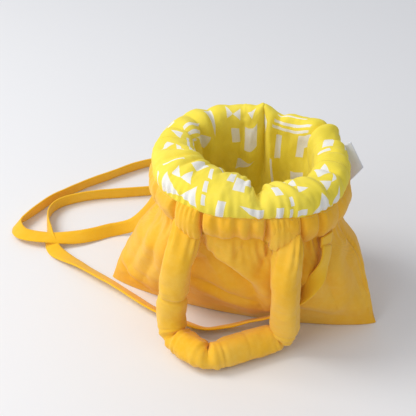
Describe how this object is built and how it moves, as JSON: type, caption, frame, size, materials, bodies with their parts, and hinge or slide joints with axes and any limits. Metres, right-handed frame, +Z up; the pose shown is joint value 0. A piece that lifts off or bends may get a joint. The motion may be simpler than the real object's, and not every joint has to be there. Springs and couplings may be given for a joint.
{
  "type": "padded tote bag",
  "caption": "Soft padded tote with its top turned out into a roll over a printed lining, padded handles, a thin shoulder strap and a blank side label.",
  "frame": {"origin": "middle of the flat base, on the surface that the bag stands on", "axes": "+X along the bag's width to its right, +Y to its back, +Z up"},
  "size_m": [0.5426, 0.4508, 0.2379],
  "materials": {
    "outer_fabric": "woven, matte",
    "band_fabric": "woven, gathered",
    "handle_fabric": "woven, padded",
    "strap_fabric": "woven, folded and topstitched",
    "lining_print": "woven, printed with pale shapes",
    "wadding": "soft fill",
    "label_cloth": "woven tape, blank"
  },
  "bodies": {
    "bag": {"outer_front_panel": "outer_fabric", "outer_back_panel": "outer_fabric", "outer_base": "outer_fabric", "wadding_front": "wadding", "wadding_back": "wadding", "wadding_base": "wadding", "cuff_wadding_front": "wadding", "cuff_wadding_back": "wadding", "facing_band_front": "band_fabric", "facing_band_back": "band_fabric", "lining_front": "lining_print", "lining_back": "lining_print", "lining_base": "lining_print", "front_handle_end_left": "handle_fabric", "front_handle_end_right": "handle_fabric", "rear_handle_end_left": "handle_fabric", "rear_handle_end_right": "handle_fabric", "strap_end_left": "strap_fabric", "strap_end_right": "strap_fabric", "shoulder_strap": "strap_fabric"},
    "front_handle": {"front_handle_sleeve": "handle_fabric", "front_handle_core": "wadding"},
    "rear_handle": {"rear_handle_sleeve": "handle_fabric", "rear_handle_core": "wadding"},
    "side_label": {"side_label": "label_cloth"}
  },
  "joints": [
    {"name": "front_handle_swing", "type": "hinge", "parent": "bag", "child": "front_handle", "pos_m": [0.0125, -0.103, 0.166], "axis": [-1, 0, 0], "range_deg": [0, 160]},
    {"name": "rear_handle_swing", "type": "hinge", "parent": "bag", "child": "rear_handle", "pos_m": [-0.0125, 0.123, 0.166], "axis": [1, 0, 0], "range_deg": [0, 160]},
    {"name": "label_flap", "type": "hinge", "parent": "bag", "child": "side_label", "pos_m": [0.11792, 0.0649, 0.181], "axis": [-0.1463, -0.0783, 0.9861], "range_deg": [-50, 50]}
  ]
}
